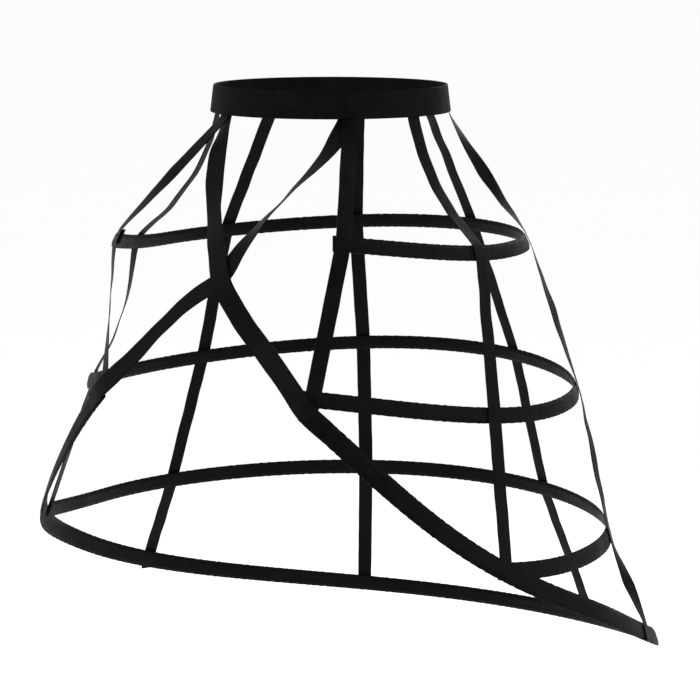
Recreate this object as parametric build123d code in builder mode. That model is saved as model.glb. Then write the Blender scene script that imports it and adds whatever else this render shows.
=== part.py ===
"""Open-front crinoline cage: ribbon straps and steel hoops hung from a waistband.

Millimetres, +Z up, front at -Y. Left and right are as seen from the front, so right is +X.
The origin is the middle of the waistband's top edge. Angles go round the body from the
front centre, positive towards the right.
"""

import os
from collections import namedtuple
from math import cos, pi, radians, sin, sqrt

from build123d import *

# Around: a value at the sides (90), at the front (0) and at the back (180), with a smooth
# run between them. tilt moves the run steadily from the back to the front and dip bends it
# between the side and the front.
Around = namedtuple("Around", "side front back tilt dip", defaults=[0, 0])
# Hoop: its radius, its height and how far its face leans back from upright, all Around;
# end is the angle where it stops at the front, askew the rise of its +X side.
Hoop = namedtuple("Hoop", "radius height lean end width askew", defaults=[0])
# Strap: its angle at the waistband, then at each hoop that it meets. slack is how far it
# sags inwards on the way to each hoop, and twist how far its face turns there, in degrees.
Strap = namedtuple("Strap", "waist hoops slack twist")

# ---- Driving dimensions --------------------------------------------------------------
WAIST_RADIUS = 117.0  # outside, top edge
WAIST_HEIGHT = 27.0
WAIST_FLARE = 3.5  # the lower edge is this much wider in radius
WAIST_THICKNESS = 2.2

STRAP_WIDTH = 15.0
STRAP_THICKNESS = 0.8
STRAP_TURN_UP = 12.0  # length sewn inside the waistband
CROSS_WIDTH = 19.0  # the two front straps that cross
CROSS_DEPTH = 206.0  # how far the crossing stands in front of the axis
CROSS_DROP = 176.0  # and how far below the waistband's top
CROSS_LEAN = 35.0  # how far the crossing leans back from upright
CROSS_GAP = 0.8  # between the two where they cross
CROSS_FLAT = 8.0  # each lies flat this far either way from the crossing
CROSS_LAP = 26.0  # length that lies on the hem casing
CROSS_TUCK = 2.0  # how much further inside the waistband each is sewn than a front strap
CROSS_LIFT = 1.5  # how far each stands off the hem where it reaches it
CROSS_WAISTS = (-30.0, 40.0)  # angles where they leave the waistband, left and right

CASING_THICKNESS = 4.0
CASING_EDGE = 1.5  # rounding of a casing's long edges
CASING_SEAL = 5.0  # closed length at each end of a casing
FABRIC_WALL = 0.65
BONE_WIDTH = 7.0
BONE_THICKNESS = 1.0
TIP_LENGTH = 10.0
TIP_CAP = 2.0  # solid length at a tip's outer end
TIP_WALL = 0.4
TIP_SIDE_WALL = 0.8
TIP_CLEARANCE = 0.15  # between a bone and its tip
TUNNEL_CLEARANCE = 0.4  # between a tip and the sides of the casing's tunnel

LAYER_GAP = 0.2  # between sewn layers
JOINT_EASE = 3.4  # extra room where a hoop's end lies under the hem
END_MARGIN = 1.5  # a hoop runs this far past its last strap's edge
HOOP_2_RISE = 14.0  # the middle of hoop 2's end lies this far above the hem's
STATION_STEP = 8.0  # mean degrees between the sections of a hoop
STATION_EASE = 0.6  # how much closer together they are at its ends

FRONT_SEATS = (33.6, 27.0)  # angles on hoop 1 and on the hem, where hoop 2 ends too
SIDE_FRONT_SEATS = (74.7, 69.7, 65.3)  # angles on hoops 1 and 2 and on the hem, at hoop 3's end
STRAPS = {
    "front_strap_left": Strap(-30.0, FRONT_SEATS, (0, 0), (-20, 20)),
    "front_strap_right": Strap(40.0, FRONT_SEATS, (0, 0), (0, 0)),
    "side_front_strap_left": Strap(-75.0, SIDE_FRONT_SEATS, (16, 9, 0), (0, -15, 0)),
    "side_front_strap_right": Strap(74.0, SIDE_FRONT_SEATS, (14, 0, 0), (0, 0, 0)),
    "side_back_strap_left": Strap(-119.0, (115.5, 115.5, 111.5, 111.5), (0, 0, 0, 0), (0, 0, 0, 0)),
    "side_back_strap_right": Strap(120.0, (115.5, 115.5, 111.5, 103.5), (3, 0, 0, 0), (55, 22, 15, 35)),
    "back_strap_left": Strap(-163.0, (157.5, 157.5, 157.0, 155.5), (0, 0, 0, 0), (0, 0, 0, 0)),
    "back_strap_right": Strap(154.0, (157.5, 157.5, 157.0, 155.5), (0, 0, 0, 0), (0, 0, 0, 0)),
}

# How the crossed straps hang above and below the crossing. Each row is a share of the
# straight run, how far the ribbon bows towards +X there, and the turn of its face.
CROSS_HANG = {
    "left": (
        ((0.08, -3, 0), (0.2, -8.8, -28), (0.4, -10.5, -25), (0.6, -9.8, 8), (0.82, -5.2, 5)),
        ((0.1, -1.3, 0), (0.3, -2.5, 0), (0.5, -0.6, 5), (0.75, 1, 12), (0.92, 1, 12)),
    ),
    "right": (
        ((0.19, 4.8, 55), (0.4, 1.2, 70), (0.54, -3, 70), (0.7, -5.8, 50), (0.85, -5.4, 20)),
        ((0.1, -4.7, 0), (0.26, -6, 8), (0.45, -4.5, 10), (0.7, -1.2, 0), (0.9, 0, -8)),
    ),
}

HEM = Hoop(
    radius=Around(side=321, front=259, back=345, tilt=-22, dip=-69),
    height=Around(side=-503, front=-232, back=-596, tilt=142, dip=-198),
    lean=Around(side=20, front=7, back=20),
    end=FRONT_SEATS[-1],
    width=19.0,
    askew=-4.5,
)


# ---- Where things lie ----------------------------------------------------------------
def around(value, angle):
    """The Around value at an angle."""
    c = cos(radians(angle))
    if c < 0:
        return value.side + value.tilt * c + (value.back + value.tilt - value.side) * c * c
    bend = value.front - value.tilt - value.side + value.dip * (1 - c)
    return value.side + value.tilt * c + bend * c * c


def on_hoop(hoop, angle):
    """The middle of a hoop's ribbon at an angle."""
    r = around(hoop.radius, angle)
    x = r * sin(radians(angle))
    z = around(hoop.height, angle) + hoop.askew * x / hoop.radius.side
    return Vector(x, -r * cos(radians(angle)), z)


def along_hoop(hoop, angle):
    """The unit direction of a hoop at an angle, towards larger angles."""
    return (on_hoop(hoop, angle + 0.5) - on_hoop(hoop, angle - 0.5)).normalized()


def out_of_hoop(hoop, angle):
    """The unit direction that a hoop's face looks in at an angle."""
    along = along_hoop(hoop, angle)
    if hoop is HEM:
        flat = Vector(sin(radians(angle)), -cos(radians(angle)), 0)
    else:
        flat = Vector(-along.Y, along.X, 0).normalized() * -1
    lean = radians(around(hoop.lean, angle))
    return square_to(flat * cos(lean) + Vector(0, 0, sin(lean)), along)


def square_to(direction, along):
    """The part of a direction that is square to another one, as a unit vector."""
    return (direction - along * direction.dot(along)).normalized()


def section(centre, along, outward, roll=0):
    """A plane across a ribbon: its x is the ribbon's width, its y looks outwards."""
    outward = square_to(outward, along).rotate(Axis((0, 0, 0), tuple(along)), roll)
    return Plane(origin=centre, x_dir=outward.cross(along), z_dir=along)


HOOP_STACK = CASING_THICKNESS + STRAP_THICKNESS + 2 * LAYER_GAP + JOINT_EASE


def meets_hem(side, angle, profile, offset, dip=0):
    """The front value that brings a hoop's end to the hem's, less an offset."""
    c = cos(radians(angle))
    return side + (around(profile, angle) - offset - side) / c**2 - dip * (1 - c)


HOOP_1 = Hoop(
    radius=Around(side=200, front=239, back=179),
    height=Around(side=-161, front=-129, back=-154),
    lean=Around(side=24, front=28, back=24),
    end=FRONT_SEATS[0],
    width=15.5,
    askew=6.0,
)
HOOP_2_DIP = -80.0
HOOP_2 = Hoop(
    radius=Around(
        side=250,
        front=meets_hem(250, FRONT_SEATS[-1], HEM.radius, HOOP_STACK, HOOP_2_DIP),
        back=239,
        dip=HOOP_2_DIP,
    ),
    height=Around(side=-309, front=meets_hem(-309, FRONT_SEATS[-1], HEM.height, -HOOP_2_RISE), back=-294),
    lean=Around(side=17, front=6, back=20),
    end=FRONT_SEATS[-1],
    width=15.5,
    askew=1.5,
)
HOOP_3 = Hoop(
    radius=Around(side=282.5, front=meets_hem(282.5, SIDE_FRONT_SEATS[-1], HEM.radius, HOOP_STACK), back=282),
    height=Around(side=-450, front=meets_hem(-450, SIDE_FRONT_SEATS[-1], HEM.height, 0), back=-443),
    lean=Around(side=17, front=17, back=17),
    end=SIDE_FRONT_SEATS[-1],
    width=17.0,
    askew=-2.5,
)
HOOPS = {"hoop_1": HOOP_1, "hoop_2": HOOP_2, "hoop_3": HOOP_3, "hem": HEM}


def turn(hoop, length):
    """The angle that a length takes up at a hoop's front end."""
    step = (on_hoop(hoop, hoop.end + 0.5) - on_hoop(hoop, hoop.end - 0.5)).length
    return length / step


def casing_start(hoop):
    """The angle where a hoop's casing begins at the front."""
    return hoop.end - turn(hoop, STRAP_WIDTH / 2 + END_MARGIN)


def stations(first, last):
    """Angles from first to last, both included, closer together near both ends."""
    count = round((last - first) / STATION_STEP)
    angles = []
    for i in range(count + 1):
        t = i / count - STATION_EASE * sin(2 * pi * i / count) / (2 * pi)
        angles.append(first + (last - first) * t)
    return angles


def across_hoop(hoop, angle):
    """A plane across a hoop at an angle."""
    return section(on_hoop(hoop, angle), along_hoop(hoop, angle), out_of_hoop(hoop, angle))


def hoop_sections(hoop, inset):
    """Planes across a hoop from its right end round the back to its left end."""
    start = casing_start(hoop) + turn(hoop, inset)
    return [across_hoop(hoop, angle) for angle in stations(start, 360 - start)]


def end_sections(hoop, side, inset, length):
    """Planes across a length of a hoop's end; side is 1 for the right end, -1 for the left."""
    planes = []
    for part in (0, 0.5, 1):
        angle = side * (casing_start(hoop) + turn(hoop, inset + length * part))
        planes.append(across_hoop(hoop, angle))
    return planes


# ---- Pieces --------------------------------------------------------------------------
def save(piece, name):
    """Name a finished piece and write its file."""
    piece.part.label = name
    export_step(piece.part, f"parts/{name}.step")


def make_waistband():
    """A flared elastic band, its profile turned about the body's axis."""
    lower = WAIST_RADIUS + WAIST_FLARE
    with BuildPart() as waistband:
        with BuildSketch(Plane.XZ):
            with BuildLine():
                Polyline(
                    (WAIST_RADIUS, 0),
                    (lower, -WAIST_HEIGHT),
                    (lower - WAIST_THICKNESS, -WAIST_HEIGHT),
                    (WAIST_RADIUS - WAIST_THICKNESS, 0),
                    close=True,
                )
            make_face()
        revolve(axis=Axis.Z)
        fillet(waistband.edges(), WAIST_THICKNESS * 0.35)
    save(waistband, "waistband")


TUNNEL_WIDTH = BONE_WIDTH + 2 * (TIP_CLEARANCE + TIP_SIDE_WALL + TUNNEL_CLEARANCE)
TUNNEL_THICKNESS = CASING_THICKNESS - 2 * FABRIC_WALL
BONE_INSET = CASING_SEAL + TIP_CLEARANCE + TIP_CAP


def make_casing(name, hoop):
    """A flat fabric tunnel that follows the hoop, sewn shut at both ends."""
    with BuildPart() as casing:
        for plane in hoop_sections(hoop, 0):
            with BuildSketch(plane):
                RectangleRounded(hoop.width, CASING_THICKNESS, CASING_EDGE)
        loft()
        for plane in hoop_sections(hoop, CASING_SEAL):
            with BuildSketch(plane):
                Rectangle(TUNNEL_WIDTH, TUNNEL_THICKNESS)
        loft(mode=Mode.SUBTRACT)
    save(casing, f"{name}_casing")


def make_bone(name, hoop):
    """The flat spring steel inside a casing."""
    with BuildPart() as bone:
        for plane in hoop_sections(hoop, BONE_INSET):
            with BuildSketch(plane):
                Rectangle(BONE_WIDTH, BONE_THICKNESS)
        loft()
    save(bone, f"{name}_bone")


def make_tip(name, hoop, side):
    """The cap on one end of a bone; side is 1 for the right end and -1 for the left."""
    outer = CASING_SEAL + TIP_CLEARANCE
    width = BONE_WIDTH + 2 * (TIP_CLEARANCE + TIP_SIDE_WALL)
    thickness = BONE_THICKNESS + 2 * (TIP_CLEARANCE + TIP_WALL)
    with BuildPart() as tip:
        for plane in end_sections(hoop, side, outer, TIP_LENGTH):
            with BuildSketch(plane):
                RectangleRounded(width, thickness, thickness * 0.4)
        loft()
        for plane in end_sections(hoop, side, outer + TIP_CAP, TIP_LENGTH):
            with BuildSketch(plane):
                Rectangle(BONE_WIDTH + 2 * TIP_CLEARANCE, BONE_THICKNESS + 2 * TIP_CLEARANCE)
        loft(mode=Mode.SUBTRACT)
    save(tip, f"{name}_bone_tip_{'right' if side > 0 else 'left'}")


def make_ribbon(name, width, points):
    """A flat ribbon through points, each a centre, an outward direction and a roll."""
    with BuildPart() as ribbon:
        for i, (centre, outward, roll) in enumerate(points):
            along = Vector(0, 0, 0)
            if i > 0:
                along += (centre - points[i - 1][0]).normalized()
            if i < len(points) - 1:
                along += (points[i + 1][0] - centre).normalized()
            with BuildSketch(section(centre, along.normalized(), outward, roll)):
                Rectangle(width, STRAP_THICKNESS)
        loft(ruled=True)
    save(ribbon, name)


def waist_points(angle, width, tuck):
    """Where a strap is sewn inside the waistband, tucked in further than the band's face."""
    flat = Vector(sin(radians(angle)), -cos(radians(angle)), 0)
    depth = LAYER_GAP + STRAP_THICKNESS / 2 + tuck
    points = []
    for drop in (WAIST_HEIGHT - STRAP_TURN_UP, WAIST_HEIGHT + 2 * STRAP_THICKNESS):
        inside = WAIST_RADIUS + WAIST_FLARE * drop / WAIST_HEIGHT - WAIST_THICKNESS
        # The flat strap touches the round band along its two edges.
        radius = sqrt(inside**2 - (width / 2) ** 2) - depth
        points.append((flat * radius - Vector(0, 0, drop), flat, 0))
    return points


def between(first, last, count, sag, twist):
    """Points inside a slack stretch, turned most at its middle."""
    points = []
    for i in range(1, count + 1):
        t = i / (count + 1)
        outward = (first[1] * (1 - t) + last[1] * t).normalized()
        centre = first[0] * (1 - t) + last[0] * t - outward * (sag * 4 * t * (1 - t))
        points.append((centre, outward, twist * sin(radians(180 * t)) ** 2))
    return points


def hanging(first, last, shape):
    """Points inside a free stretch that bows and turns as its rows say."""
    chord = last[0] - first[0]
    aside = square_to(Vector(1, 0, 0), chord.normalized())
    points = []
    for share, bow, roll in shape:
        outward = (first[1] * (1 - share) + last[1] * share).normalized()
        points.append((first[0] + chord * share + aside * bow, outward, roll))
    return points


STRAP_OFFSET = CASING_THICKNESS / 2 + LAYER_GAP + STRAP_THICKNESS / 2


def make_strap(name, strap):
    """A strap from inside the waistband down over the hoops to its last one."""
    side = 1 if strap.waist > 0 else -1
    points = waist_points(strap.waist, STRAP_WIDTH, 0)
    hoops = list(HOOPS.values())[: len(strap.hoops)]
    seats = []
    for hoop, level in zip(hoops, strap.hoops):
        angle = side * level
        outward = out_of_hoop(hoop, angle)
        centre = on_hoop(hoop, angle) + outward * STRAP_OFFSET
        seats.append((centre, outward, along_hoop(hoop, angle)))
    for i, (hoop, (centre, outward, along)) in enumerate(zip(hoops, seats)):
        above = points[-1][0]
        below = seats[i + 1][0] if i + 1 < len(seats) else centre * 2 - above
        down = square_to(below - above, outward)
        # A strap that crosses askew stays flat for longer.
        askew = abs(down.dot(along))
        half = (hoop.width / 2 + STRAP_WIDTH / 2 * askew) / sqrt(1 - askew**2)
        upper = (centre - down * half, outward, 0)
        lower = (centre + down * half, outward, 0)
        points += between(points[-1], upper, 3, strap.slack[i], strap.twist[i])
        points += [upper, lower]
    make_ribbon(name, STRAP_WIDTH, points)


def make_cross_strap(name, waist, hang, layer):
    """A front strap from one side of the waistband, over the front, to the other hem end."""
    side = -1 if waist > 0 else 1
    points = waist_points(waist, CROSS_WIDTH, CROSS_TUCK)
    ends = []
    for reach_in in (0, CROSS_LAP / 2, CROSS_LAP):
        angle = side * (casing_start(HEM) + turn(HEM, reach_in))
        outward = out_of_hoop(HEM, angle)
        lift = STRAP_OFFSET + CROSS_LIFT * (1 - reach_in / CROSS_LAP)
        ends.append((on_hoop(HEM, angle) + outward * lift, outward, 0))
    forward = Vector(0, -cos(radians(CROSS_LEAN)), sin(radians(CROSS_LEAN)))
    centre = Vector(0, -CROSS_DEPTH, -CROSS_DROP) + forward * (layer * (STRAP_THICKNESS + CROSS_GAP) / 2)
    upper = (centre - square_to(centre - points[-1][0], forward) * CROSS_FLAT, forward, 0)
    lower = (centre + square_to(ends[0][0] - centre, forward) * CROSS_FLAT, forward, 0)
    above, below = hang
    points += hanging(points[-1], upper, above) + [upper, lower]
    points += hanging(lower, ends[0], below) + ends
    make_ribbon(name, CROSS_WIDTH, points)


os.makedirs("parts", exist_ok=True)
make_waistband()
for name, hoop in HOOPS.items():
    make_casing(name, hoop)
    make_bone(name, hoop)
    for side in (-1, 1):
        make_tip(name, hoop, side)
for name, strap in STRAPS.items():
    make_strap(name, strap)
# Where they cross, the strap from the left lies over the one from the right.
make_cross_strap("cross_strap_left", CROSS_WAISTS[0], CROSS_HANG["left"], 1)
make_cross_strap("cross_strap_right", CROSS_WAISTS[1], CROSS_HANG["right"], -1)
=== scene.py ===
# %% [markdown]
# # An open-front crinoline cage
# The cage is a skirt support: an elastic waistband, four cased steel hoops that stop at the
# front, and ribbon straps that hang the hoops from the band. Its exact sizes live in the packed
# CAD frame. This lesson dresses that frame: it reads where each ribbon runs, and weaves, gathers
# and stitches visible cloth along the same lines.

import math
from collections import namedtuple

import bmesh
import bpy
import numpy as np
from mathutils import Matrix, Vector


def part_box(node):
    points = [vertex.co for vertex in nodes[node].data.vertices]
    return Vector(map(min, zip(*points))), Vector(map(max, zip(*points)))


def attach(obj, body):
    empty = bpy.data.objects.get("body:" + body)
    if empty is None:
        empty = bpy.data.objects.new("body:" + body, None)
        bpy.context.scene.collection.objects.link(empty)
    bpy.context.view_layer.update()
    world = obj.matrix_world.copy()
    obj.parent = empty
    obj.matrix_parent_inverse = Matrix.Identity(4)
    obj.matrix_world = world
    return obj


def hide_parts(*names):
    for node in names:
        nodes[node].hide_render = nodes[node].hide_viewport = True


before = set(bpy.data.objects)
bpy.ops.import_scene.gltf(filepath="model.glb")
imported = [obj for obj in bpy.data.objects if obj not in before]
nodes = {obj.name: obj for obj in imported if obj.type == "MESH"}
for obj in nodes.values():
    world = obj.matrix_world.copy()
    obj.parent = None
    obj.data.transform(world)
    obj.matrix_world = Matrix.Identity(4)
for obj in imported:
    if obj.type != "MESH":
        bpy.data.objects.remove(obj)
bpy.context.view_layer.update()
MM = 0.001
HOOPS = ["hoop_1", "hoop_2", "hoop_3", "hem"]
STRAPS = [name for name in nodes if "strap" in name]
print("nodes", len(nodes), "straps", len(STRAPS))

# %% [markdown]
# ## The camera and the light
# A cage on a dress form is seen from a little above its waist and from its right. The camera
# stands about three metres off with a long lens, so the hoops look nearly undistorted. The light
# is a bright room with three large soft lamps: black cloth shows its shape only by what it
# reflects, so the lamps stand wide to either side.

# %% Camera
CAMERA_PLACE = (1.519, -2.5405, 0.184)
CAMERA_TILT = math.radians(81.3)
CAMERA_TURN = math.radians(30.5)
LENS_MM = 152.2

camera_data = bpy.data.cameras.new("camera")
camera_data.lens = LENS_MM
camera_data.sensor_width = 36.0
camera = bpy.data.objects.new("camera", camera_data)
camera.location = CAMERA_PLACE
camera.rotation_euler = (CAMERA_TILT, 0, CAMERA_TURN)
bpy.context.collection.objects.link(camera)
bpy.context.scene.camera = camera


# %% Lamps, room and floor
FLOOR_DROP = 1.04  # an adult's waist stands about this far above the floor
FLOOR_REACH = 70.0  # far enough that the floor's edge stays out of view

room = bpy.data.worlds.new("room")
room.use_nodes = True
room.node_tree.nodes["Background"].inputs["Color"].default_value = (1, 1, 1, 1)
room.node_tree.nodes["Background"].inputs["Strength"].default_value = 1.0
bpy.context.scene.world = room
bpy.context.scene.view_settings.view_transform = "Standard"


def lamp(name, place, size, power):
    """A large square lamp that faces the middle of the cage."""
    data = bpy.data.lights.new(name, "AREA")
    data.energy = power
    data.size = size
    thing = bpy.data.objects.new(name, data)
    thing.location = place
    aim = Vector((0, 0, -0.3)) - Vector(place)
    thing.rotation_euler = aim.to_track_quat("-Z", "Y").to_euler()
    bpy.context.collection.objects.link(thing)


lamp("key_lamp", (-1.6, -2.0, 1.2), 1.6, 34)
lamp("side_lamp", (2.4, 0.1, 0.4), 1.4, 26)
lamp("back_lamp", (-0.6, 2.4, 0.9), 1.8, 22)

floor_mesh = bpy.data.meshes.new("floor")
floor_signs = ((-1, -1), (1, -1), (1, 1), (-1, 1))
corners = [(x * FLOOR_REACH, y * FLOOR_REACH, -FLOOR_DROP) for x, y in floor_signs]
floor_mesh.from_pydata(corners, [], [(0, 1, 2, 3)])
floor = bpy.data.objects.new("floor", floor_mesh)
bpy.context.collection.objects.link(floor)

# %% [markdown]
# ## Reading a ribbon's run off the frame
# Every strap and hoop in the frame is a long strip with a flat section. Cutting it square to its
# run gives an outline, and the outline's middle and longest direction say where the ribbon's
# centre lies and which way its width points. Walking along the strip, cut by cut, gives the whole
# run. It could be typed in again as points, but then a change to the frame would leave the cloth
# behind.

# %% Cut and walk along a strip
Run = namedtuple("Run", "s centre along width out")
WALK_STEP = 4 * MM
NEAR = 16 * MM  # a cut's lines further off than this belong to another stretch
END_SHARE = 0.93  # a cut with less than this share of the last one's outline is past the end


def unit(v):
    """Vectors along the last axis, made one long."""
    return v / np.linalg.norm(v, axis=-1, keepdims=True)


def triangles_of(node):
    """A CAD node's triangles as an array of corners."""
    mesh = nodes[node].data
    mesh.calc_loop_triangles()
    points = np.empty(len(mesh.vertices) * 3)
    corners = np.empty(len(mesh.loop_triangles) * 3, dtype=np.int32)
    mesh.vertices.foreach_get("co", points)
    mesh.loop_triangles.foreach_get("vertices", corners)
    return points.reshape(-1, 3)[corners.reshape(-1, 3)]


def outline(triangles, centre, along):
    """The short lines, near a centre, where a plane square to along cuts a strip's triangles."""
    side = (triangles - centre) @ along
    hit = triangles[(side.min(axis=1) < 0) & (side.max(axis=1) > 0)]
    side = (hit - centre) @ along
    after, side_after = np.roll(hit, -1, axis=1), np.roll(side, -1, axis=1)
    crosses = side * side_after < 0
    share = side / np.where(crosses, side - side_after, 1)
    ends = hit + (after - hit) * share[..., None]
    whole = crosses.sum(axis=1) == 2
    ends = ends[whole][crosses[whole]].reshape(-1, 2, 3)
    return ends[np.linalg.norm(ends.mean(axis=1) - centre, axis=1) < NEAR]


def cut(triangles, centre, along):
    """The middle, the width direction and the outline's length where a plane cuts a strip."""
    ends = outline(triangles, centre, along)
    if not len(ends):
        return None
    middle, run = ends.mean(axis=1), ends[:, 1] - ends[:, 0]
    weight = np.linalg.norm(run, axis=1)
    mean = (middle * weight[:, None]).sum(axis=0) / weight.sum()
    off = middle - mean
    moment = np.einsum("i,ij,ik->jk", weight, off, off)
    moment = moment + np.einsum("i,ij,ik->jk", weight, run, run) / 12
    return mean, np.linalg.eigh(moment)[1][:, 2], weight.sum()


def walk(triangles, centre, along):
    """Cuts along a strip from a place inside it to its end."""
    first = cut(triangles, centre, along)
    centres, widths, length = [first[0]], [first[1]], first[2]
    centre = first[0] + along * WALK_STEP
    while True:
        found = cut(triangles, centre, along)
        if found is None or found[2] < END_SHARE * length:
            break
        centres.append(found[0])
        widths.append(found[1] if found[1] @ widths[-1] > 0 else -found[1])
        length = found[2]
        along = unit(centres[-1] - centres[-2])
        centre = centres[-1] + along * WALK_STEP
    points = triangles.reshape(-1, 3)
    points = points[np.linalg.norm(points - centres[-1], axis=1) < NEAR]
    centres.append(centres[-1] + along * ((points - centres[-1]) @ along).max())
    widths.append(widths[-1])
    return np.array(centres), np.array(widths)


def smooth(values, reach):
    """Values along a run, each averaged with its neighbours; the ends stay."""
    kernel = np.hanning(2 * reach + 3)[1:-1]
    kernel /= kernel.sum()
    before = 2 * values[0] - values[reach:0:-1]
    after = 2 * values[-1] - values[-2:-reach - 2:-1]
    padded = np.concatenate([before, values, after])
    return np.stack([np.convolve(padded[:, i], kernel, mode="valid") for i in range(3)], axis=1)


def finish_run(centres, widths, step, softness):
    """A run with even steps from cuts that are some way apart, its corners softened."""
    s = np.concatenate([[0], np.cumsum(np.linalg.norm(np.diff(centres, axis=0), axis=1))])
    even = np.linspace(0, s[-1], max(3, round(s[-1] / step) + 1))
    reach = max(1, round(softness / step))
    centre = smooth(np.stack([np.interp(even, s, centres[:, i]) for i in range(3)], axis=1), reach)
    width = smooth(np.stack([np.interp(even, s, widths[:, i]) for i in range(3)], axis=1), reach)
    along = unit(np.gradient(centre, axis=0))
    width = unit(width - along * (width * along).sum(axis=1, keepdims=True))
    out = np.cross(along, width)
    middle = len(centre) // 2
    if out[middle] @ (centre[middle] * (1, 1, 0)) < 0:
        width, out = -width, -out
    return Run(even, centre, along, width, out)


def run_of(node, start, along, step, softness=WALK_STEP):
    """The whole run of a strip, from walks both ways out of a start inside it."""
    triangles = triangles_of(node)
    along = np.array(along, float)
    start = cut(triangles, np.array(start, float), along)[0]
    onwards = unit(cut(triangles, start + along * WALK_STEP, along)[0] - start)
    back_centres, back_widths = walk(triangles, start, -onwards)
    centres, widths = walk(triangles, start, onwards)
    if back_widths[0] @ widths[0] < 0:
        back_widths = -back_widths
    centres = np.concatenate([back_centres[:0:-1], centres])
    widths = np.concatenate([back_widths[:0:-1], widths])
    return finish_run(centres, widths, step, softness)


# %% The runs of the four hoops and ten straps
HOOP_STEP = 1.6 * MM
STRAP_STEP = 2.0 * MM
STRAP_START = 60 * MM  # below a strap's top, where it hangs free
BACK_MIDDLE = 30 * MM  # either way from the back's centre line
CROSS_SOFTNESS = 18 * MM  # the crossed straps hang free, so they turn in long bends
STRAP_SOFTNESS = 7 * MM


def hoop_run(name):
    """A hoop's run, started at its middle at the back."""
    triangles = triangles_of(f"{name}_casing")
    back = triangles.reshape(-1, 3)
    back = back[(abs(back[:, 0]) < BACK_MIDDLE) & (back[:, 1] > 0)].mean(axis=0)
    return run_of(f"{name}_casing", back * (0, 1, 1), (1, 0, 0), HOOP_STEP)


def strap_run(name):
    """A strap's run from the waistband down, started on the stretch under the waistband."""
    triangles = triangles_of(name)
    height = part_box(name)[1].z - STRAP_START
    edges = np.concatenate([triangles[:, [0, 1]], triangles[:, [1, 2]], triangles[:, [2, 0]]])
    side = edges[..., 2] - height
    edges = edges[side[:, 0] * side[:, 1] < 0]
    share = (height - edges[:, 0, 2]) / (edges[:, 1, 2] - edges[:, 0, 2])
    start = (edges[:, 0] + (edges[:, 1] - edges[:, 0]) * share[:, None]).mean(axis=0)
    softness = CROSS_SOFTNESS if name.startswith("cross") else STRAP_SOFTNESS
    return run_of(name, start, (0, 0, -1), STRAP_STEP, softness)


hoop_runs = {name: hoop_run(name) for name in HOOPS}
strap_runs = {name: strap_run(name) for name in STRAPS}
for name, run in {**hoop_runs, **strap_runs}.items():
    print(name, "length", round(float(run.s[-1]), 3), "m")

# %% [markdown]
# ## Weaving cloth along a run
# A ribbon is one outline swept along its run. The outline changes as it goes, so the sweep takes
# the across and outward place of every outline point at every station. Blender could bevel a
# curve instead, but a bevel can't pucker. The sweep writes a UV map in metres, so a weave keeps
# its thread count on every ribbon.


# %% Sweep an outline into a mesh
def sweep(name, run, across, out, closed=False):
    """A closed piece of cloth; across and out are stations by outline points, in metres."""
    stations, points = across.shape
    place = run.centre[:, None] + run.width[:, None] * across[..., None]
    place = place + run.out[:, None] * out[..., None]
    faces = []
    for i in range(stations if closed else stations - 1):
        here, there = i * points, (i + 1) % stations * points
        for j in range(points):
            k = (j + 1) % points
            faces.append((here + j, here + k, there + k, there + j))
    if not closed:
        last = (stations - 1) * points
        for j in range(points // 2 - 1):
            faces.append((j, points - 1 - j, points - 2 - j, j + 1))
            faces.append((last + j, last + j + 1, last + points - 2 - j, last + points - 1 - j))
    mesh = bpy.data.meshes.new(name)
    mesh.from_pydata(place.reshape(-1, 3).tolist(), [], faces)
    work = bmesh.new()
    work.from_mesh(mesh)
    bmesh.ops.recalc_face_normals(work, faces=work.faces)
    work.to_mesh(mesh)
    work.free()
    uv = mesh.uv_layers.new(name="cloth")
    corner = np.empty(len(mesh.loops), dtype=np.int32)
    mesh.loops.foreach_get("vertex_index", corner)
    u, v = np.broadcast_to(run.s[:, None], across.shape).ravel(), across.ravel()
    uv.data.foreach_set("uv", np.stack([u[corner], v[corner]], axis=1).ravel())
    mesh.shade_smooth()
    piece = bpy.data.objects.new(name, mesh)
    bpy.context.collection.objects.link(piece)
    return piece


def both_faces(outer, inner):
    """An outline's values: out along the outer face and back along the inner one."""
    return np.concatenate([outer, inner[:, ::-1]], axis=1)


RIPPLE_SCALES = (0.62, 0.83, 1.0, 1.37)  # shares of the pitch, so the wave never repeats


def ripple(s, v, pitch, seed):
    """A smooth uneven wave along a run, which slants and fades across it; about -1 to 1."""
    rng = np.random.default_rng(seed)
    total = np.zeros(np.broadcast(s, v).shape)
    for scale in RIPPLE_SCALES:
        phase, slant, drift = rng.uniform(0, 2 * math.pi), rng.uniform(-1, 1), rng.uniform(2, 5)
        swing = np.sin(s * 2 * math.pi / (pitch * drift * 4) + phase * 2)
        wave = s * 2 * math.pi / (pitch * scale) + slant * v * math.pi / pitch
        total += np.sin(wave + phase + swing)
    return total / 3


def ease(value, low, high):
    """0 under low, 1 over high and smooth between them."""
    t = np.clip((value - low) / (high - low), 0, 1)
    return t * t * (3 - 2 * t)


# %% [markdown]
# ## Black satin, elastic, thread and steel
# All the cloth is the same near-black, and differs in how it is woven. Satin ribbon is smooth
# with a soft sheen, elastic has cords along its length, and thread is a little shinier than
# both. The weave and the wear are node groups, so each cloth places them with its own values.

# %% Node helpers


def socket(tree, name, kind, way, value=None):
    """A named input or output of a node group."""
    made = tree.interface.new_socket(name=name, in_out=way, socket_type=kind)
    if value is not None:
        made.default_value = value
    return made


def add(tree, kind, **settings):
    """A node with its settings; names of inputs and their values or links go in inputs."""
    inputs = settings.pop("inputs", {})
    node = tree.nodes.new(kind)
    for key, value in settings.items():
        setattr(node, key, value)
    for key, value in inputs.items():
        if isinstance(value, bpy.types.NodeSocket):
            tree.links.new(value, node.inputs[key])
        else:
            node.inputs[key].default_value = value
    return node


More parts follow.
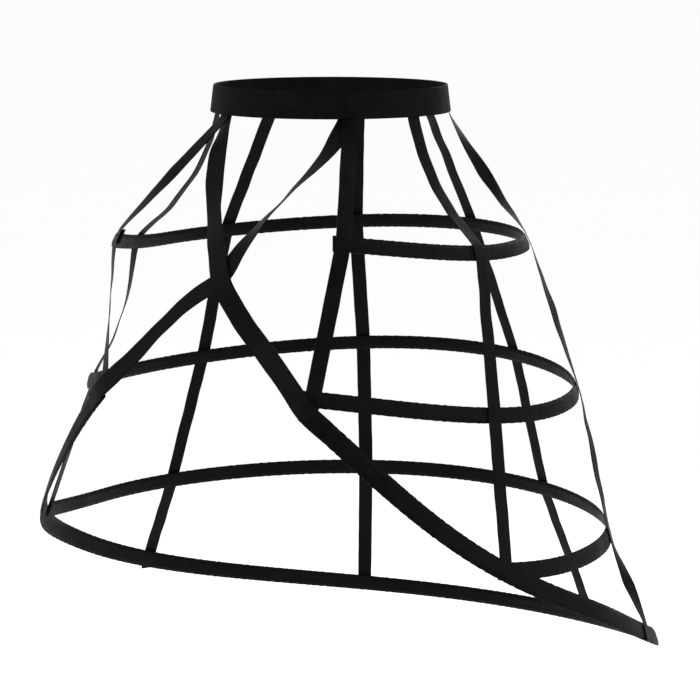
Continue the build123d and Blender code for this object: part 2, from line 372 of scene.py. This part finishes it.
def math_node(tree, operation, first, second=0.0):
    """The output of a Math node."""
    return add(tree, "ShaderNodeMath", operation=operation, inputs={0: first, 1: second}).outputs[0]


# %% Weave group: fine threads along and across a ribbon
def make_weave():
    """Warp and weft ridges from a UV map in metres."""
    tree = bpy.data.node_groups.new("weave", "ShaderNodeTree")
    socket(tree, "Vector", "NodeSocketVector", "INPUT")
    socket(tree, "Warp Pitch", "NodeSocketFloat", "INPUT", 0.0005)
    socket(tree, "Weft Pitch", "NodeSocketFloat", "INPUT", 0.0004)
    socket(tree, "Warp Share", "NodeSocketFloat", "INPUT", 0.5)
    socket(tree, "Height", "NodeSocketFloat", "OUTPUT")
    given = tree.nodes.new("NodeGroupInput")
    split = add(tree, "ShaderNodeSeparateXYZ", inputs={0: given.outputs["Vector"]})
    ridges = []
    for axis, pitch in (("Y", "Warp Pitch"), ("X", "Weft Pitch")):
        turns = math_node(tree, "DIVIDE", split.outputs[axis], given.outputs[pitch])
        wave = math_node(tree, "SINE", math_node(tree, "MULTIPLY", turns, 2 * math.pi))
        ridges.append(wave)
    blend = add(tree, "ShaderNodeMix", data_type="FLOAT",
                inputs={0: given.outputs["Warp Share"], 2: ridges[1], 3: ridges[0]})
    result = tree.nodes.new("NodeGroupOutput")
    tree.links.new(blend.outputs[0], result.inputs["Height"])
    return tree


# %% Wear group: uneven dye, lint and rubbed places
def make_wear():
    """A slow change in shade and a fine scatter of lint, from object coordinates."""
    tree = bpy.data.node_groups.new("wear", "ShaderNodeTree")
    socket(tree, "Vector", "NodeSocketVector", "INPUT")
    socket(tree, "Dark", "NodeSocketColor", "INPUT", (0.006, 0.006, 0.007, 1))
    socket(tree, "Light", "NodeSocketColor", "INPUT", (0.012, 0.012, 0.013, 1))
    socket(tree, "Patch Size", "NodeSocketFloat", "INPUT", 0.03)
    socket(tree, "Lint", "NodeSocketFloat", "INPUT", 0.3)
    socket(tree, "Colour", "NodeSocketColor", "OUTPUT")
    socket(tree, "Patch", "NodeSocketFloat", "OUTPUT")
    given = tree.nodes.new("NodeGroupInput")
    scale = math_node(tree, "DIVIDE", 1.0, given.outputs["Patch Size"])
    patch = add(tree, "ShaderNodeTexNoise", inputs={"Vector": given.outputs["Vector"], "Scale": scale,
                                                    "Detail": 3.0, "Roughness": 0.6})
    shade = add(tree, "ShaderNodeMapRange", inputs={0: patch.outputs["Fac"], 1: 0.35, 2: 0.65})
    dyed = add(tree, "ShaderNodeMix", data_type="RGBA",
               inputs={0: shade.outputs[0], 6: given.outputs["Dark"], 7: given.outputs["Light"]})
    specks = add(tree, "ShaderNodeTexNoise", inputs={"Vector": given.outputs["Vector"], "Scale": 900.0,
                                                     "Detail": 1.0})
    lint = add(tree, "ShaderNodeMapRange", inputs={0: specks.outputs["Fac"], 1: 0.68, 2: 0.78})
    amount = math_node(tree, "MULTIPLY", lint.outputs[0], given.outputs["Lint"])
    dusty = add(tree, "ShaderNodeMix", data_type="RGBA",
                inputs={0: amount, 6: dyed.outputs[2], 7: (0.045, 0.045, 0.048, 1)})
    result = tree.nodes.new("NodeGroupOutput")
    tree.links.new(dusty.outputs[2], result.inputs["Colour"])
    tree.links.new(shade.outputs[0], result.inputs["Patch"])
    return tree


weave_group = make_weave()
wear_group = make_wear()


# %% Cloth materials
def cloth(name, dark, light, rough, warp, weft, share, depth, sheen, gloss=0.035, uv=True):
    """A woven black cloth; rough is the least and the most roughness."""
    material = bpy.data.materials.new(name)
    material.use_nodes = True
    tree = material.node_tree
    shader = tree.nodes["Principled BSDF"]
    place = tree.nodes.new("ShaderNodeTexCoord")
    wear = add(tree, "ShaderNodeGroup", node_tree=wear_group,
               inputs={"Vector": place.outputs["Object"], "Dark": dark, "Light": light})
    weave = add(tree, "ShaderNodeGroup", node_tree=weave_group,
                inputs={"Vector": place.outputs["UV" if uv else "Object"], "Warp Pitch": warp,
                        "Weft Pitch": weft, "Warp Share": share})
    roughness = add(tree, "ShaderNodeMapRange",
                    inputs={0: wear.outputs["Patch"], 3: rough[0], 4: rough[1]})
    bump = add(tree, "ShaderNodeBump", inputs={"Height": weave.outputs["Height"], "Strength": 0.5,
                                               "Distance": depth})
    tree.links.new(wear.outputs["Colour"], shader.inputs["Base Color"])
    tree.links.new(roughness.outputs[0], shader.inputs["Roughness"])
    tree.links.new(bump.outputs["Normal"], shader.inputs["Normal"])
    shader.inputs["Specular IOR Level"].default_value = gloss
    shader.inputs["Sheen Weight"].default_value = sheen
    shader.inputs["Sheen Roughness"].default_value = 0.35
    shader.inputs["Sheen Tint"].default_value = (0.8, 0.8, 0.85, 1)
    return material


DYE_DARK = (0.0011, 0.0010, 0.0013, 1)
DYE_LIGHT = (0.0030, 0.0028, 0.0034, 1)
THREAD_DARK = (0.0025, 0.0025, 0.0029, 1)
THREAD_LIGHT = (0.0055, 0.0055, 0.0062, 1)
satin = cloth("strap satin", DYE_DARK, DYE_LIGHT, rough=(0.38, 0.52), warp=0.0006, weft=0.00035,
              share=0.3, depth=0.00006, sheen=0.005)
casing_cloth = cloth("casing ribbon", DYE_DARK, DYE_LIGHT, rough=(0.40, 0.56), warp=0.0006,
                     weft=0.0005, share=0.4, depth=0.00008, sheen=0.006)
elastic = cloth("woven elastic", DYE_DARK, DYE_LIGHT, rough=(0.55, 0.7), warp=0.0017, weft=0.0007,
                share=0.6, depth=0.0001, sheen=0.007, gloss=0.03)
thread = cloth("black thread", THREAD_DARK, THREAD_LIGHT, rough=(0.35, 0.5), warp=0.0003,
               weft=0.0003, share=0.5, depth=0.00004, sheen=0.01, gloss=0.08, uv=False)


# %% Steel and floor materials
def steel(name, colour, rough):
    """Rolled spring steel with faint mill lines."""
    material = bpy.data.materials.new(name)
    material.use_nodes = True
    tree = material.node_tree
    shader = tree.nodes["Principled BSDF"]
    place = tree.nodes.new("ShaderNodeTexCoord")
    grain = add(tree, "ShaderNodeTexNoise", inputs={"Vector": place.outputs["Object"], "Scale": 160.0,
                                                    "Detail": 4.0})
    tone = add(tree, "ShaderNodeMix", data_type="RGBA",
               inputs={0: grain.outputs["Fac"], 6: colour, 7: [c * 0.7 for c in colour[:3]] + [1]})
    rubbed = add(tree, "ShaderNodeMapRange", inputs={0: grain.outputs["Fac"], 3: rough, 4: rough + 0.2})
    tree.links.new(tone.outputs[2], shader.inputs["Base Color"])
    tree.links.new(rubbed.outputs[0], shader.inputs["Roughness"])
    shader.inputs["Metallic"].default_value = 1.0
    return material


spring_steel = steel("spring steel", (0.5, 0.5, 0.51, 1), 0.25)
cap_steel = steel("crimped cap", (0.6, 0.6, 0.58, 1), 0.35)

paper = bpy.data.materials.new("pale floor")
paper.use_nodes = True
paper.node_tree.nodes["Principled BSDF"].inputs["Base Color"].default_value = (0.97, 0.97, 0.97, 1)
paper.node_tree.nodes["Principled BSDF"].inputs["Roughness"].default_value = 0.9
floor_mesh.materials.append(paper)

# %% [markdown]
# ## The casings
# Each hoop's steel lies in a tunnel of ribbon: two layers sewn together along both edges, with
# the steel between. The middle stands proud over the steel and the sewn edges are thin. The
# ribbon is a little longer than the steel, so it gathers into small crosswise puckers, deepest
# beside the stitches.

# %% Shape the casings
CASING_HALF_STEEL = 1.62 * MM  # half the thickness over the steel
CASING_HALF_EDGE = 0.5 * MM
SEAM_INSET = 2.0 * MM
CASING_POINTS = 15
EDGE_CROWDING = 0.85  # under 1, outline points stand closer at the edges
EDGE_WAVE = 0.3 * MM
EDGE_PITCH = 9 * MM
CROWN_RISE = (1.2 * MM, 3.4 * MM)  # from the edge in, where the cloth climbs over the steel
END_RISE = (1.0 * MM, 7.0 * MM)  # the same, from a casing's end
END_CROWN = 0.25  # share of the crown that is left at a casing's end
PUCKER_DEPTH = 0.16 * MM
PUCKER_PITCH = 6.5 * MM
CREASE_PITCH = 3.4 * MM
PUCKER_SHARE = 0.6  # of the gathering; creases take the rest


def width_of(node, run):
    """A CAD strip's width, from its outline halfway along."""
    middle = len(run.s) // 2
    ends = outline(triangles_of(node), run.centre[middle], run.along[middle])
    return 2 * float(abs((ends - run.centre[middle]) @ run.width[middle]).max())


def casing_outline(run, width, seed):
    """Across and outward places for a gathered casing."""
    s = run.s[:, None]
    half = np.linspace(-1, 1, CASING_POINTS)
    half = np.sign(half) * abs(half) ** EDGE_CROWDING * width / 2
    edge_wave = EDGE_WAVE * ripple(s, 0, EDGE_PITCH, seed)
    across = half[None, :] * (1 + edge_wave / (width / 2))
    from_edge = width / 2 - abs(half)[None, :]
    crown = ease(from_edge, *CROWN_RISE)
    ends = ease(np.minimum(s, run.s[-1] - s), *END_RISE)
    rise = (CASING_HALF_STEEL - CASING_HALF_EDGE) * crown * (END_CROWN + (1 - END_CROWN) * ends)
    gather = PUCKER_DEPTH + PUCKER_DEPTH * (1 - crown) * ease(from_edge, 0, 1 * MM)
    faces = []
    for face in (0, 1):
        puckers = ripple(s, half[None, :], PUCKER_PITCH, seed + 7 + face)
        creases = ripple(s, half[None, :], CREASE_PITCH, seed + 11 + face)
        gathered = PUCKER_SHARE * puckers + (1 - PUCKER_SHARE) * creases
        faces.append(CASING_HALF_EDGE + rise + gather * gathered)
    return both_faces(across, across), both_faces(faces[0], -faces[1])


casings = {}
for number, name in enumerate(HOOPS):
    width = width_of(f"{name}_casing", hoop_runs[name])
    across, out = casing_outline(hoop_runs[name], width, 20 * number + 3)
    casing = sweep(f"{name}_gathered_casing", hoop_runs[name], across, out)
    casing.data.materials.append(casing_cloth)
    casings[name] = casing
    print(name, "casing width", round(width / MM, 2), "mm, faces", len(casing.data.polygons))

# %% [markdown]
# ## The straps
# The straps are plain satin ribbon. They lie flat where they are sewn over a hoop and flex a
# little where they hang free, so the sway fades out towards each crossing. A woven edge, the
# selvedge, stands up slightly along both sides.

# %% Where straps cross hoops
Crossing = namedtuple("Crossing", "hoop at half")
CROSSING_REACH = 6 * MM
CENTRE_STRIDE = 3  # every third place along a hoop is near enough to find a crossing


def crossings_of(strap):
    """Each place along a strap where it lies over a hoop."""
    run, found = strap_runs[strap], []
    for hoop in HOOPS:
        other = hoop_runs[hoop].centre[::CENTRE_STRIDE]
        gaps = np.linalg.norm(run.centre[:, None] - other[None], axis=2).min(axis=1)
        if gaps.min() < CROSSING_REACH:
            half = width_of(f"{hoop}_casing", hoop_runs[hoop]) / 2
            found.append(Crossing(hoop, float(run.s[gaps.argmin()]), half))
    return found


crossings = {name: crossings_of(name) for name in STRAPS}
print("crossings", {name: [c.hoop for c in found] for name, found in crossings.items()})

# %% Shape the straps
STRAP_HALF = 0.36 * MM  # half the ribbon's thickness
SELVEDGE = 0.07 * MM
SELVEDGE_RISE = (1.4 * MM, 0.7 * MM)  # from the edge in
STRAP_POINTS = 13
FREE_RISE = (2 * MM, 30 * MM)  # past a crossing, where a strap starts and ends coming free
FREE_TOP = (15 * MM, 45 * MM)  # the same, from a strap's top
SWAY, SWAY_PITCH = 0.45 * MM, 55 * MM
CUP, CUP_PITCH = 0.35 * MM, 80 * MM
NARROWING, NARROWING_PITCH = 0.012, 40 * MM


def strap_outline(run, width, sewn, seed):
    """Across and outward places for a strap that sways between its crossings."""
    s = run.s[:, None]
    half = np.linspace(-1, 1, STRAP_POINTS) * width / 2
    free = np.ones_like(s)
    for crossing in sewn:
        away = abs(s - crossing.at) - crossing.half
        free = free * ease(away, *FREE_RISE)
    free = free * ease(s, *FREE_TOP)
    across = half[None, :] * (1 + NARROWING * ripple(s, 0, NARROWING_PITCH, seed))
    sway = SWAY * free * ripple(s, half[None, :] * 0.3, SWAY_PITCH, seed + 1)
    cup = CUP * free * (half[None, :] / (width / 2)) ** 2 * ripple(s, 0, CUP_PITCH, seed + 2)
    first, full = SELVEDGE_RISE
    rim = SELVEDGE * ease(abs(half)[None, :], width / 2 - first, width / 2 - full)
    rim = rim * ease(width / 2 - abs(half)[None, :] + 0.1 * MM, 0, 0.4 * MM)
    outer, inner = sway + cup + STRAP_HALF + rim, sway + cup - STRAP_HALF - rim
    return both_faces(across, across), both_faces(outer, inner)


strap_pieces = {}
for number, name in enumerate(STRAPS):
    run = strap_runs[name]
    width = width_of(name, run)
    across, out = strap_outline(run, width, crossings[name], 300 + 10 * number)
    strap_pieces[name] = sweep(f"{name}_ribbon", run, across, out)
    strap_pieces[name].data.materials.append(satin)
    print(name, "width", round(width / MM, 2), "mm")

# %% [markdown]
# ## The waistband
# The band is woven elastic: cords run along it, and it closes on itself. It is one outline
# turned about the body's axis, so the cut of the CAD band at one place gives its slope, its
# middle and its width, and the ring is made from that cut.

# %% Shape the waistband
BAND_STATIONS = 360
BAND_POINTS = 58
CORD_PITCH = 1.7 * MM
CORD_DEPTH = 0.07 * MM
BAND_EDGE = 1.2 * MM  # how near the top and the foot a point counts as on them
BAND_SLIMMEST = 0.45  # share of the band's thickness that is left at its edges
PULL, PULL_PITCH = 0.12 * MM, 735 / 24 * MM  # the elastic's slow waves


def band_run():
    """The waistband's run: one cut, turned round the axis."""
    low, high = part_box("waistband")
    points = triangles_of("waistband").reshape(-1, 3)
    radius = np.hypot(points[:, 0], points[:, 1])
    top = radius[points[:, 2] > high.z - BAND_EDGE]
    foot = radius[points[:, 2] < low.z + BAND_EDGE]
    upper, lower = (top.max() + top.min()) / 2, (foot.max() + foot.min()) / 2
    angle = np.linspace(0, 2 * math.pi, BAND_STATIONS, endpoint=False)[:, None]
    flat = np.concatenate([np.sin(angle), -np.cos(angle), 0 * angle], axis=1)
    centre = flat * (upper + lower) / 2 + np.array([0, 0, (low.z + high.z) / 2])
    along = np.concatenate([np.cos(angle), np.sin(angle), 0 * angle], axis=1)
    width = unit(flat * (upper - lower) + np.array([0, 0, high.z - low.z]))
    thickness = foot.max() - foot.min()
    s = angle[:, 0] * (upper + lower) / 2
    return Run(s, centre, along, width, np.cross(width, along) * -1), high.z - low.z, thickness


band, band_width, band_thickness = band_run()
if band.out[0] @ (band.centre[0] * (1, 1, 0)) < 0:
    band = band._replace(out=-band.out)
half = np.linspace(-1, 1, BAND_POINTS) * band_width / 2
from_edge = band_width / 2 - abs(half)
rounding = np.sqrt(ease(from_edge, -0.2 * MM, 1.1 * MM))
body = band_thickness / 2 * (BAND_SLIMMEST + (1 - BAND_SLIMMEST) * rounding)
cords = CORD_DEPTH * np.cos(half * 2 * math.pi / CORD_PITCH) * ease(from_edge, 0.3 * MM, 1.5 * MM)
pull = PULL * ripple(band.s[:, None], half[None, :] * 0.1, PULL_PITCH, 5)
fade = np.sin(np.linspace(0, math.pi, BAND_STATIONS))[:, None]
outer = np.broadcast_to(body - CORD_DEPTH + cords, (BAND_STATIONS, BAND_POINTS)) + pull * fade
inner = np.broadcast_to(-body + CORD_DEPTH - cords, (BAND_STATIONS, BAND_POINTS)) + pull * fade
across = np.broadcast_to(half, (BAND_STATIONS, BAND_POINTS))
waistband = sweep("elastic_waistband", band, both_faces(across, across),
                  both_faces(outer, inner), closed=True)
waistband.data.materials.append(elastic)
print("waistband width", round(band_width / MM, 1), "mm, thickness",
      round(band_thickness / MM, 2), "mm")

# %% [markdown]
# ## The stitches
# A sewing machine leaves a row of short even threads along each casing edge and across each
# strap where it is sewn down. A row is a line of points; Geometry Nodes space stitches along it,
# turn each one along the row, and set the thread's material.


# %% Stitch tree
def make_stitch_tree():
    """Short threads along every line of a mesh."""
    tree = bpy.data.node_groups.new("stitch rows", "GeometryNodeTree")
    socket(tree, "Geometry", "NodeSocketGeometry", "INPUT")
    socket(tree, "Pitch", "NodeSocketFloat", "INPUT", 0.003)
    socket(tree, "Thread Length", "NodeSocketFloat", "INPUT", 0.0023)
    socket(tree, "Thread Thickness", "NodeSocketFloat", "INPUT", 0.0004)
    socket(tree, "Unevenness", "NodeSocketFloat", "INPUT", 0.15)
    socket(tree, "Seed", "NodeSocketInt", "INPUT", 1)
    socket(tree, "Material", "NodeSocketMaterial", "INPUT")
    socket(tree, "Geometry", "NodeSocketGeometry", "OUTPUT")
    given = tree.nodes.new("NodeGroupInput")
    line = add(tree, "GeometryNodeMeshToCurve", inputs={0: given.outputs["Geometry"]})
    spaced = add(tree, "GeometryNodeResampleCurve", mode="LENGTH",
                 inputs={"Curve": line.outputs[0], "Length": given.outputs["Pitch"]})
    heading = tree.nodes.new("GeometryNodeInputTangent")
    turned = add(tree, "FunctionNodeAlignRotationToVector", axis="X",
                 inputs={"Vector": heading.outputs[0]})
    bead = add(tree, "GeometryNodeMeshUVSphere", inputs={"Segments": 6, "Rings": 4, "Radius": 0.5})
    size = add(tree, "ShaderNodeCombineXYZ",
               inputs={0: given.outputs["Thread Length"], 1: given.outputs["Thread Thickness"],
                       2: given.outputs["Thread Thickness"]})
    least = math_node(tree, "SUBTRACT", 1.0, given.outputs["Unevenness"])
    vary = add(tree, "FunctionNodeRandomValue", data_type="FLOAT",
               inputs={2: least, 3: 1.0, "Seed": given.outputs["Seed"]})
    scale = add(tree, "ShaderNodeVectorMath", operation="SCALE",
                inputs={0: size.outputs[0], "Scale": vary.outputs[1]})
    placed = add(tree, "GeometryNodeInstanceOnPoints",
                 inputs={"Points": spaced.outputs[0], "Instance": bead.outputs[0],
                         "Rotation": turned.outputs[0], "Scale": scale.outputs[0]})
    real = add(tree, "GeometryNodeRealizeInstances", inputs={0: placed.outputs[0]})
    painted = add(tree, "GeometryNodeSetMaterial",
                  inputs={"Geometry": real.outputs[0], "Material": given.outputs["Material"]})
    result = tree.nodes.new("NodeGroupOutput")
    tree.links.new(painted.outputs[0], result.inputs["Geometry"])
    return tree


stitch_tree = make_stitch_tree()


def stitches(name, rows, seed, pitch=3.0 * MM, length=2.3 * MM, thickness=0.42 * MM):
    """A plain mesh of stitches along rows, each a list of points."""
    points, edges = [], []
    for row in rows:
        edges += [(len(points) + i, len(points) + i + 1) for i in range(len(row) - 1)]
        points += [tuple(p) for p in row]
    mesh = bpy.data.meshes.new(f"{name}_rows")
    mesh.from_pydata(points, edges, [])
    maker = bpy.data.objects.new(f"{name}_rows", mesh)
    bpy.context.collection.objects.link(maker)
    modifier = maker.modifiers.new("stitches", "NODES")
    modifier.node_group = stitch_tree
    values = {"Pitch": pitch, "Thread Length": length, "Thread Thickness": thickness, "Seed": seed,
              "Material": thread}
    for item in stitch_tree.interface.items_tree:
        if item.in_out == "INPUT" and item.name in values:
            modifier[item.identifier] = values[item.name]
    shown = maker.evaluated_get(bpy.context.evaluated_depsgraph_get())
    made = bpy.data.meshes.new_from_object(shown)
    made.name = name
    bpy.data.objects.remove(maker)
    piece = bpy.data.objects.new(name, made)
    made.shade_smooth()
    bpy.context.collection.objects.link(piece)
    print(name, "triangles", sum(len(p.vertices) - 2 for p in made.polygons))
    return piece


# %% Rows along the casings
SEAM_OUT = 0.78 * MM  # a casing's threads lie this far out from its middle
SEAM_STOP = 3 * MM  # from a casing's end


def edge_row(run, across_at, out_at):
    """Points along a run at fixed across and outward places, short of both ends."""
    keep = (run.s > SEAM_STOP) & (run.s < run.s[-1] - SEAM_STOP)
    place = run.centre + run.width * across_at + run.out * out_at
    return place[keep][::2]


casing_stitches = {}
for number, name in enumerate(HOOPS):
    run = hoop_runs[name]
    inset = width_of(f"{name}_casing", run) / 2 - SEAM_INSET
    rows = [edge_row(run, side * inset, face * SEAM_OUT) for side in (-1, 1) for face in (-1, 1)]
    casing_stitches[name] = stitches(f"{name}_casing_stitches", rows, 40 + number)

# %% Rows where straps are sewn down
SEWN_INSET = 2.0 * MM
SEWN_MARGIN = 1.4 * MM  # from a strap's edge to its row's end
SEWN_TOP = (2.5 * MM, 9.5 * MM)  # where a strap's top is sewn to the waistband
SEWN_THREAD = (2.2 * MM, 1.8 * MM, 0.4 * MM)  # pitch, length and thickness


def across_row(run, at, width, face):
    """A row across a strap at a distance along it, on its outer (1) or inner (-1) face."""
    centre = np.array([np.interp(at, run.s, run.centre[:, i]) for i in range(3)])
    i = int(np.clip(np.searchsorted(run.s, at), 0, len(run.s) - 1))
    reach = width / 2 - SEWN_MARGIN
    side = np.linspace(-reach, reach, 6)[:, None]
    return centre + run.width[i] * side + run.out[i] * face * (STRAP_HALF + 0.1 * MM)


sewn_rows = []
for name, found in crossings.items():
    width = width_of(name, strap_runs[name])
    for crossing in found:
        for way in (-1, 1):
            at = crossing.at + way * (crossing.half - SEWN_INSET)
            if 1 * MM < at < strap_runs[name].s[-1] - 0.5 * MM:
                sewn_rows.append(across_row(strap_runs[name], at, width, 1))
    for at in SEWN_TOP:
        sewn_rows.append(across_row(strap_runs[name], at, width, -1))
strap_stitches = stitches("strap_stitches", sewn_rows, 60, *SEWN_THREAD)

# %% Rows on the waistband over each strap's end
BAND_ROW_SHARES = (0.62, 0.88)  # of the way down the band
BAND_ROW_MARGIN = 1.5 * MM
band_rows = []
for name in STRAPS:
    top = strap_runs[name].centre[2]
    angle = math.atan2(top[0], -top[1])
    half_row = width_of(name, strap_runs[name]) / 2 - BAND_ROW_MARGIN
    spread = half_row / np.hypot(top[0], top[1])
    turns = np.linspace(angle - spread, angle + spread, 7)[:, None]
    flat = np.concatenate([np.sin(turns), -np.cos(turns), 0 * turns], axis=1)
    for share in BAND_ROW_SHARES:
        height = -share * band_width
        slope = (0.5 - share) * band_width
        reach = np.hypot(*(band.centre[0] + band.width[0] * slope)[:2]) + band_thickness / 2
        band_rows.append(flat * reach + np.array([0, 0, height]))
band_stitches = stitches("waistband_stitches", band_rows, 61, *SEWN_THREAD)

# %% [markdown]
# ## Hand the pieces to the frame
# Each piece rides on the cage's one body and stands for the CAD solid whose place it takes,
# which is hidden. Every CAD node is then given a material.

# %% Ride, replace and give every CAD node a material
for name in HOOPS:
    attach(casings[name], "root")
    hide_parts(f"{name}_casing")
    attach(casing_stitches[name], "root")
for name in STRAPS:
    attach(strap_pieces[name], "root")
    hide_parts(name)
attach(waistband, "root")
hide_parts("waistband")
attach(strap_stitches, "root")
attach(band_stitches, "root")

for name, node in nodes.items():
    finish = casing_cloth
    if "bone" in name:
        finish = cap_steel if "tip" in name else spring_steel
    node.data.materials.clear()
    node.data.materials.append(finish)
